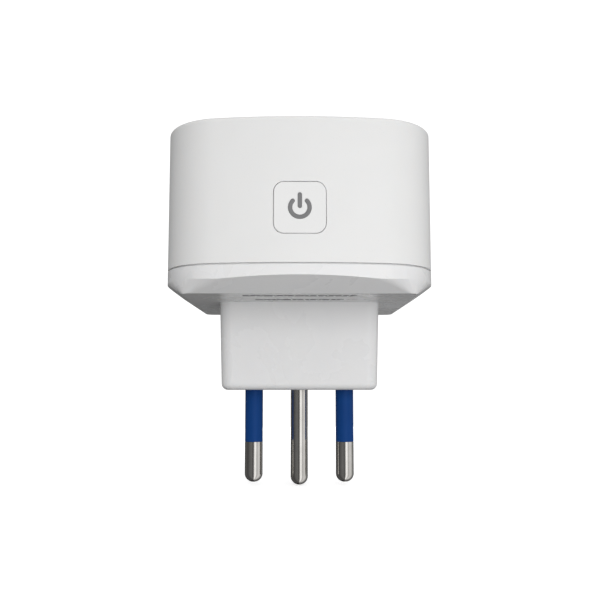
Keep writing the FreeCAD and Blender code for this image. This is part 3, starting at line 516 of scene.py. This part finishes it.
def clearGlass(name, colour):
    finish, tree, shader = newFinish(name)
    worn = placeGroup(tree, handling, Patch=150.0)
    wire(tree, (spread(tree, worn["Film"], 0.02, 0.12), shader.inputs["Roughness"]))
    shader.inputs["Base Color"].default_value = (*colour, 1)
    shader.inputs["Transmission Weight"].default_value = 1.0
    shader.inputs["IOR"].default_value = 1.5
    return finish


finishes = {
    "housing_white": mouldedPlastic("housingWhite", (0.80, 0.80, 0.795), (0.79, 0.79, 0.785),
                                    0.44, film=0.03, soft=0.15),
    "cover_white": mouldedPlastic("coverWhite", (0.80, 0.80, 0.80), (0.79, 0.79, 0.795),
                                  0.27, depth=0.0015, film=0.015, soft=0.15),
    "button_white": mouldedPlastic("buttonWhite", (0.80, 0.80, 0.795), (0.79, 0.79, 0.785),
                                   0.40, depth=0.003),
    "socket_white": mouldedPlastic("socketWhite", (0.78, 0.78, 0.775), (0.76, 0.76, 0.755), 0.42),
    "shutter_white": mouldedPlastic("shutterWhite", (0.70, 0.70, 0.69), (0.67, 0.67, 0.66), 0.45, film=0.0),
    "carrier_white": mouldedPlastic("carrierWhite", (0.68, 0.67, 0.63), (0.64, 0.63, 0.59), 0.55, film=0.0),
    "symbol_grey": mouldedPlastic("symbolGrey", (0.20, 0.20, 0.203), (0.17, 0.17, 0.173),
                                  0.36, depth=0.002),
    "pin_nickel": platedMetal("pinNickel", (0.74, 0.72, 0.69), (0.66, 0.64, 0.61), 0.13),
    "sleeve_blue": mouldedPlastic("sleeveBlue", (0.004, 0.052, 0.22), (0.003, 0.042, 0.185),
                                  0.42, film=0.04, specular=0.14),
    "contact_brass": platedMetal("contactBrass", (0.78, 0.60, 0.30), (0.68, 0.50, 0.24),
                                 0.26, (60.0, 2500.0, 60.0)),
    "spring_steel": platedMetal("springSteel", (0.60, 0.60, 0.60), (0.52, 0.52, 0.53),
                                0.30, (900.0, 900.0, 900.0)),
    "board_green": solderMask("boardGreen", (0.02, 0.15, 0.06), (0.03, 0.24, 0.10)),
    "relay_blue": mouldedPlastic("relayBlue", (0.02, 0.11, 0.36), (0.02, 0.09, 0.30), 0.32, film=0.0),
    # the winding's second, darker tone is painted shade in the valleys between its turns
    "winding_copper": enamelledWire("windingCopper", (0.62, 0.26, 0.10), (0.22, 0.07, 0.03)),
    "ferrite": mouldedPlastic("ferriteBlack", (0.055, 0.055, 0.058), (0.04, 0.04, 0.042),
                              0.62, depth=0.012, film=0.0),
    "capacitor_sleeve": mouldedPlastic("capacitorSleeve", (0.035, 0.035, 0.05), (0.03, 0.03, 0.04),
                                       0.25, film=0.0),
    "varistor_blue": mouldedPlastic("varistorBlue", (0.03, 0.16, 0.46), (0.03, 0.13, 0.38),
                                    0.30, depth=0.01, film=0.0),
    "fuse_glass": clearGlass("fuseGlass", (0.90, 0.93, 0.93)),
    "black_plastic": mouldedPlastic("blackPlastic", (0.025, 0.025, 0.025), (0.02, 0.02, 0.02),
                                    0.45, film=0.0),
    "led_clear": mouldedPlastic("ledClear", (0.85, 0.84, 0.74), (0.80, 0.79, 0.70),
                                0.12, film=0.0, coat=0.6),
    "print_grey": mouldedPlastic("printGrey", (0.15, 0.15, 0.155), (0.12, 0.12, 0.125), 0.50, film=0.0),
}
print("finishes ready:", len(finishes))


# front shell: bowed box with a round opening for the socket and a square one for the button

shellLook = {
    "seamDrop": 0.15,      # how far the lower rim hangs below the fixed part's, to close the seam
    "edgeRound": 1.1,      # front edge
    "rimRound": 0.2,       # all other edges
    "wall": 2.3,
    "mouthRadius": 22.6,
    "openingGap": 0.1,     # between the shell and the button
    "openingFront": -38,
    "openingBack": -33,
}
shellLow, shellHigh = (corner / mm for corner in map(Vector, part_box("front_housing")))
buttonShape = {"height": 45.2, "side": 13.1, "corner": 2.6, "edgeRound": 0.28, "flangeSide": 16.0,
               "flangeCorner": 4.05, "flangeBack": 33.2, "flangeFront": 33.8, "stemRadius": 1.5,
               "stemLow": 33.0, "stemHigh": 33.5}


def standingPlate(side, corner, front, back, height):
    # a square bar with round corners that points along Y, between two depths
    piece = roundPlate(side, side, corner, (0, 0, 0))
    thicken(piece, z=back - front)
    standUp(piece, -1, front, height)
    return piece


def makeFrontShell():
    look, wall = shellLook, shellLook["wall"]
    low, high = shellLow.z - look["seamDrop"], shellHigh.z
    shell = bowedRing([(wall, high - wall), (wall, low), (0, low), (0, high)])
    fillLevel(shell, high)
    fillLevel(shell, high - wall)
    mergeUp(shell)
    levelEdges(shell, high)
    bevelEdges(look["edgeRound"])
    carve(shell, rodPiece(look["mouthRadius"], high - wall - past, high + past, sides=128))
    side = buttonShape["side"] + 2 * look["openingGap"]
    corner = buttonShape["corner"] + look["openingGap"]
    carve(shell, standingPlate(side, corner, look["openingFront"], look["openingBack"],
                               buttonShape["height"]))
    softEdges(shell, look["rimRound"], 3, 40)
    finishPiece(shell, "front_shell", "housing", "housing_white", "front_housing")


makeFrontShell()


# rear cover: the bowed band below the seam, cut by four flat bevels

coverLook = {"flatHalf": 30.3, "flatCorner": 2.5, "bevelRise": 5.7, "bevelRun": 9.0, "bevelCorner": 28.5,
             "rim": 31.0, "edgeRound": 0.2, "wall": 3.8, "floor": 3.6, "tongueIn": 2.4, "tongueTop": 35.0,
             "grooveIn": 0.75, "grooveTop": 31.43,  # the groove that shows as the seam
             "formRise": 6.0}                       # how far the bevels' cutter stands above them
coverLow = Vector(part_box("rear_cover")[0]) / mm


def makeRearCover():
    look, low = coverLook, coverLow.z
    cover = bowedRing([(look["wall"], low + look["floor"]), (look["wall"], look["tongueTop"]),
                       (look["tongueIn"], look["tongueTop"]), (look["tongueIn"], look["grooveTop"]),
                       (look["grooveIn"], look["grooveTop"]), (look["grooveIn"], look["rim"]),
                       (0, look["rim"]), (0, low)])
    fillLevel(cover, low)
    fillLevel(cover, low + look["floor"])
    mergeUp(cover)
    foot = roundPlate(2 * look["flatHalf"], 2 * look["flatHalf"], look["flatCorner"], (0, 0, low), 14)
    wide = 2 * (look["flatHalf"] + look["bevelRun"])
    head = roundPlate(wide, wide, look["bevelCorner"], (0, 0, low + look["bevelRise"]), 14)
    form = joinPieces(foot, head)
    editMode("EDGE")
    selectAll()
    bpy.ops.mesh.delete(type="ONLY_FACE")
    selectAll()
    bpy.ops.mesh.bridge_edge_loops()
    objectMode()
    levelEdges(form, low + look["bevelRise"])
    bpy.ops.mesh.extrude_edges_move(
        MESH_OT_extrude_edges_indiv={}, TRANSFORM_OT_translate={"value": (0, 0, look["formRise"] * mm)})
    bpy.ops.mesh.edge_face_add()
    objectMode()
    fillLevel(form, low)
    mergeUp(form)
    carve(cover, form, "INTERSECT")
    softEdges(cover, look["edgeRound"], 3, 24)
    finishPiece(cover, "rear_shell", "housing", "cover_white", "rear_cover")


makeRearCover()


# plug block: tapered, hollow from above, with a hole for each pin

blockLook = {"width": 43.5, "depth": 18.9, "corner": 3.2, "taper": 1.6, "edgeRound": 1.7, "taperTop": 26.5,
             "top": 28.0, "flange": 1.4, "wall": 2.2, "roomCorner": 2.2, "floor": 3.0, "pinGap": 0.1,
             "rimRound": 0.12}
pinLook = {"pitch": 13.0, "radius": 2.55, "earthRadius": 2.45, "sleeveEnd": 14.7, "tipRound": 2.35,
           "neck": 1.8, "neckTop": 10.0, "collar": 3.4, "collarTop": 11.5, "tail": 1.6, "edgeRound": 0.08}
sleeveLook = {"neck": 2.35, "neckTop": 1.0, "edgeRound": 0.14}
pins = {"line_pin": (-pinLook["pitch"], pinLook["radius"]), "earth_pin": (0, pinLook["earthRadius"]),
        "neutral_pin": (pinLook["pitch"], pinLook["radius"])}


def makePlugBlock():
    look = blockLook
    block = roundPlate(look["width"], look["depth"], look["corner"], (0, 0, 0), 8)
    rise = look["taperTop"] * math.tan(math.radians(look["taper"]))
    wide, deep = look["width"], look["depth"]
    editMode()
    selectAll()
    extrudeBy(z=look["taperTop"])
    bpy.ops.transform.resize(value=(1 + 2 * rise / wide, 1 + 2 * rise / deep, 1))
    extrudeBy()
    wide, deep, out = wide + 2 * rise, deep + 2 * rise, look["flange"]
    bpy.ops.transform.resize(value=(1 + 2 * out / wide, 1 + 2 * out / deep, 1))
    extrudeBy(z=look["top"] - look["taperTop"])
    objectMode()
    mergeUp(block)
    room = roundPlate(look["width"] - 2 * look["wall"], look["depth"] - 2 * look["wall"],
                      look["roomCorner"], (0, 0, look["floor"]), 8)
    thicken(room, z=look["top"])
    carve(block, room)
    levelEdges(block, 0)
    bevelEdges(look["edgeRound"])
    for x, radius in pins.values():
        carve(block, rodPiece(radius + look["pinGap"], -past, look["floor"] + past / 2, x))
    softEdges(block, look["rimRound"], 2, 50)
    finishPiece(block, "plug_shell", "housing", "cover_white", "plug_block")


makePlugBlock()


# pins and their coloured sleeves

def makePin(node, x, radius):
    low, high = (corner[2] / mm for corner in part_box(node))
    look = pinLook
    top = 0 if node == "earth_pin" else -look["sleeveEnd"]
    pin = latheWhole([(0, low), (radius, low), (radius, top), (look["neck"], top),
                      (look["neck"], look["neckTop"]), (look["collar"], look["neckTop"]),
                      (look["collar"], look["collarTop"]), (look["tail"], look["collarTop"]),
                      (look["tail"], high), (0, high)], x)
    tip = Vector((x, 0, low))
    selectEdges(pin, lambda a, b: all(abs((end - tip).length - radius) < near for end in (a, b))
                and max(a.z, b.z) < low + near)
    bevelEdges(look["tipRound"], 12)
    softEdges(pin, look["edgeRound"], 2, 50)
    finishPiece(pin, node + "_turned", "housing", "pin_nickel", node)


def makeSleeve(node, x):
    low, high = (corner[2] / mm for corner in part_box(node))
    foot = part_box(node)[1][0] / mm - x
    look, bore, outer = sleeveLook, pinLook["neck"], pinLook["radius"]
    sleeve = latheWhole([(bore, low), (outer, low), (outer, 0), (look["neck"], 0),
                         (look["neck"], look["neckTop"]), (foot, look["neckTop"]), (foot, high),
                         (bore, high), (bore, low)], x)
    softEdges(sleeve, look["edgeRound"], 3, 50)
    finishPiece(sleeve, node + "_moulded", "housing", "sleeve_blue", node)


for pinNode in ("line_pin", "neutral_pin", "earth_pin"):
    makePin(pinNode, *pins[pinNode])
makeSleeve("line_pin_sleeve", -pinLook["pitch"])
makeSleeve("neutral_pin_sleeve", pinLook["pitch"])


# button with its inlaid symbol

symbolLook = {"outer": 2.95, "stroke": 1.06, "gap": 47.0, "barLow": 45.0, "barHigh": 49.0, "depth": 0.8,
              "groove": 0.035, "sink": 0.04, "edgeRound": 0.12,
              "barEnd": 0.998}  # the bar's ends are this near to half rounds


def symbolParts(grow, front, back):
    # the broken ring and the bar, with round ends, both grown all round by the same amount
    look, height = symbolLook, buttonShape["height"]
    middle, half = look["outer"] - look["stroke"] / 2, look["stroke"] / 2 + grow
    turn = math.radians(180 - look["gap"])
    about = {"center": (0, 0, height * mm), "axis": (0, 1, 0)}
    ring = drawProfile([(front, height - middle - half), (front, height - middle + half)])
    editMode()
    selectAll()
    bpy.ops.mesh.spin(steps=1, angle=-turn, **about)
    bpy.ops.mesh.select_all(action="INVERT")
    bpy.ops.mesh.delete(type="VERT")
    selectAll()
    bpy.ops.mesh.spin(steps=56, angle=2 * turn, **about)
    objectMode()
    out, up = math.sin(math.radians(look["gap"])), math.cos(math.radians(look["gap"]))
    for sign in (-1, 1):  # each end is rounded by a half turn of its outer corner
        spot = Vector((sign * middle * out, front, height + middle * up))
        outer = Vector((sign * (middle + half) * out, front, height + (middle + half) * up))
        selectVerts(ring, lambda v: (v - outer).length < near)
        bpy.ops.mesh.spin(steps=12, angle=sign * math.pi, center=spot * mm, axis=(0, 1, 0))
        objectMode()
        mergeUp(ring, near)
        selectEdges(ring, lambda a, b: max((a - spot).length, (b - spot).length) < half + near)
        bpy.ops.mesh.edge_face_add()
        objectMode()
    long = look["barHigh"] - look["barLow"] + 2 * grow
    bar = roundPlate(2 * half, long, half * look["barEnd"], (0, 0, 0), 12)
    standUp(bar, 1, front, (look["barHigh"] + look["barLow"]) / 2)
    for piece in (ring, bar):
        thicken(piece, y=back - front)
    return ring, bar


def makeButton():
    look = buttonShape
    front = -bowShape["half"]
    cap = roundPlate(look["flangeSide"], look["flangeSide"], look["flangeCorner"], (0, 0, look["flangeBack"]))
    editMode()
    selectAll()
    extrudeBy(z=look["flangeFront"] - look["flangeBack"])
    bpy.ops.mesh.inset(thickness=(look["flangeSide"] - look["side"]) / 2 * mm, depth=0)
    extrudeBy(z=-front - look["flangeFront"])
    objectMode()
    mergeUp(cap)
    levelEdges(cap, -front)
    bevelEdges(look["edgeRound"], 4)
    carve(cap, rodPiece(look["stemRadius"], look["stemLow"], look["stemHigh"], sides=32), "UNION")
    standUp(cap, 1, 0, look["height"])
    back = front + symbolLook["depth"]
    for cutter in symbolParts(symbolLook["groove"], front - past, back):
        carve(cap, cutter)
    finishPiece(cap, "button_cap", "button", "button_white", "power_button")
    symbol = joinPieces(*symbolParts(0, front + symbolLook["sink"], back))
    softEdges(symbol, symbolLook["edgeRound"], 3, 60)
    finishPiece(symbol, "button_symbol", "button", "symbol_grey", "power_icon")


makeButton()


# plain dashes in place of the rating print

marksLook = {"nearHalf": 14.8, "farHalf": 12.0, "blockHigh": 2.2,  # two blocks of two rows each
             "dashHigh": 0.83, "corner": 0.12, "shortest": 0.7, "longest": 3.4, "space": 0.5,
             "stride": 4.326}  # the fraction of its multiples gives the dashes uneven lengths


def makeMarks():
    low, high = (Vector(corner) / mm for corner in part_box("rear_marks"))
    look, dashes = marksLook, []
    tall = look["blockHigh"]
    for half, start in ((look["nearHalf"], low.y), (look["farHalf"], high.y - tall)):
        for y in (start + tall / 4, start + tall * 3 / 4):
            x = -half
            while x < half - look["shortest"]:
                share = (len(dashes) + 1) * look["stride"] % 1.0
                wide = min(look["shortest"] + share * (look["longest"] - look["shortest"]), half - x)
                dash = roundPlate(wide, look["dashHigh"], look["corner"], (x + wide / 2, y, low.z), 3)
                thicken(dash, z=high.z - low.z)
                dashes.append(dash)
                x += wide + look["space"]
    finishPiece(joinPieces(*dashes), "rating_dashes", "housing", "print_grey", "rear_marks")


makeMarks()


# the fixed frame's own parts take their finishes by slot

def dressFrame():
    for part in frame["record"]["subparts"]:
        for slot in frame["nodes"][part["node"]].material_slots:
            slot.material = finishes[part["material_slot"]]
    print("frame parts dressed")


dressFrame()


# floor, light and camera

studio = {
    "floorLevel": -26.85,
    "floorTone": 0.86,
    "floorGlow": 0.55,
    "lampAim": (0, 0, 0.03),
    "key": {"at": (0.035, -0.27, 0.02), "size": (0.24, 0.24), "watts": 0.385},
    "back": {"at": (-0.05, 0.30, 0.03), "size": (0.24, 0.24), "watts": 0.22},
    "paper": 1.15,        # what stands behind the object
    "skyLeft": 0.55,      # what lights the plastic, from either side, above and below
    "skyRight": 0.65,
    "skyAbove": 1.3,
    "groundLeft": 0.0,
    "groundRight": 0.38,
    "sideReach": 0.9,
    "upperReach": (0.1, 0.9),
    "horizon": (-0.55, -0.05),
    # soft boxes and flags that anything glossy mirrors, as (share of the turn, level), going round
    # from the back by the left to the front and on by the right
    "mirrored": ((0.0, 0.03), (0.16, 0.08), (0.22, 0.10), (0.28, 0.06), (0.36, 0.13), (0.44, 0.17),
                 (0.482, 0.07), (0.515, 0.30), (0.54, 1.34), (0.585, 1.10), (0.62, 0.50), (0.68, 0.82),
                 (0.74, 0.72), (0.80, 0.30), (0.88, 0.12), (1.0, 0.20)),
}
view = {"at": (-0.00083, -0.2264, 0.00121), "tilt": 96.26, "pan": -0.0046, "lens": 46.77, "sensor": 36.0,
        "nearest": 0.01}


def makeFloor():
    bpy.ops.mesh.primitive_plane_add(size=8, location=(0, 0, studio["floorLevel"] * mm))
    floor = bpy.context.object
    floor.name = "studio_floor"
    finish, tree, shader = newFinish("paperFloor")
    place = addNode(tree, "TexCoord").outputs["Object"]
    fibre = addNode(tree, "TexNoise", Scale=700.0, Detail=3.0)
    wire(tree, (place, fibre.inputs["Vector"]),
         (bumpFrom(tree, fibre.outputs["Fac"], 0.02), shader.inputs["Normal"]))
    shader.inputs["Base Color"].default_value = (*[studio["floorTone"]] * 3, 1)
    shader.inputs["Roughness"].default_value = 0.9
    shader.inputs["Emission Color"].default_value = (1, 1, 1, 1)
    shader.inputs["Emission Strength"].default_value = studio["floorGlow"]
    floor.data.materials.append(finish)
    floor.visible_diffuse = False
    floor.visible_glossy = False
    floor.visible_shadow = False


def makeLight(name, at, size, watts):
    bpy.ops.object.light_add(type="AREA", location=at)
    light = bpy.context.object
    light.name = name
    light.data.shape = "RECTANGLE"
    light.data.size, light.data.size_y = size
    light.data.energy = watts
    light.rotation_euler = (Vector(studio["lampAim"]) - light.location).to_track_quat("-Z", "Y").to_euler()
    light.visible_glossy = False


def makeSky():
    # straight to the eye it is plain white, plastic sees a soft room, and gloss mirrors the boxes
    world = bpy.data.worlds.new("softRoom")
    world.use_nodes = True
    bpy.context.scene.world = world
    tree = world.node_tree
    tree.nodes.clear()
    way = addNode(tree, "SeparateXYZ")
    wire(tree, (addNode(tree, "TexCoord").outputs["Generated"], way.inputs["Vector"]))
    side = studio["sideReach"]
    sky = spread(tree, way.outputs["X"], studio["skyLeft"], studio["skyRight"], -side, side)
    ground = spread(tree, way.outputs["X"], studio["groundLeft"], studio["groundRight"], -side, side)
    above = spread(tree, way.outputs["Z"], 1.0, studio["skyAbove"], *studio["upperReach"])
    high = mathNode(tree, "MULTIPLY")
    mixed = addNode(tree, "Mix", data_type="FLOAT")
    wire(tree, (sky, high.inputs[0]), (above, high.inputs[1]), (ground, mixed.inputs[2]),
         (high.outputs["Value"], mixed.inputs[3]),
         (spread(tree, way.outputs["Z"], 0.0, 1.0, *studio["horizon"]), mixed.inputs[0]))
    back = mathNode(tree, "MULTIPLY", -1.0)
    turn = mathNode(tree, "ARCTAN2")
    boxes = addNode(tree, "ValToRGB")
    stops = boxes.color_ramp.elements
    for count, (share, level) in enumerate(studio["mirrored"]):
        stop = stops[count] if count < 2 else stops.new(share)  # a ramp starts with two stops
        stop.position = share
        stop.color = (level, level, level, 1)
    wire(tree, (way.outputs["Y"], back.inputs[0]), (way.outputs["X"], turn.inputs[0]),
         (back.outputs["Value"], turn.inputs[1]),
         (spread(tree, turn.outputs["Value"], 0.0, 1.0, -math.pi, math.pi), boxes.inputs["Fac"]))
    room, mirror = addNode(tree, "Background"), addNode(tree, "Background")
    white = addNode(tree, "Background")
    room.inputs["Color"].default_value = (1, 1, 1, 1)
    white.inputs["Color"].default_value = (1, 1, 1, 1)
    white.inputs["Strength"].default_value = studio["paper"]
    wire(tree, (mixed.outputs[0], room.inputs["Strength"]), (boxes.outputs["Color"], mirror.inputs["Color"]))
    rays = addNode(tree, "LightPath").outputs
    first, second = addNode(tree, "MixShader"), addNode(tree, "MixShader")
    wire(tree, (rays["Is Glossy Ray"], first.inputs["Fac"]), (room.outputs["Background"], first.inputs[1]),
         (mirror.outputs["Background"], first.inputs[2]), (rays["Is Camera Ray"], second.inputs["Fac"]),
         (first.outputs["Shader"], second.inputs[1]), (white.outputs["Background"], second.inputs[2]),
         (second.outputs["Shader"], addNode(tree, "OutputWorld").inputs["Surface"]))


def makeCamera():
    bpy.ops.object.camera_add(location=view["at"], rotation=(math.radians(view["tilt"]), 0, view["pan"]))
    camera = bpy.context.object
    camera.name = "studio_camera"
    camera.data.lens = view["lens"]
    camera.data.sensor_width = view["sensor"]
    camera.data.clip_start = view["nearest"]
    bpy.context.scene.camera = camera


makeFloor()
makeLight("key_light", **studio["key"])
makeLight("back_light", **studio["back"])
makeSky()
makeCamera()
bpy.context.scene.view_settings.view_transform = "Standard"
print("studio ready")
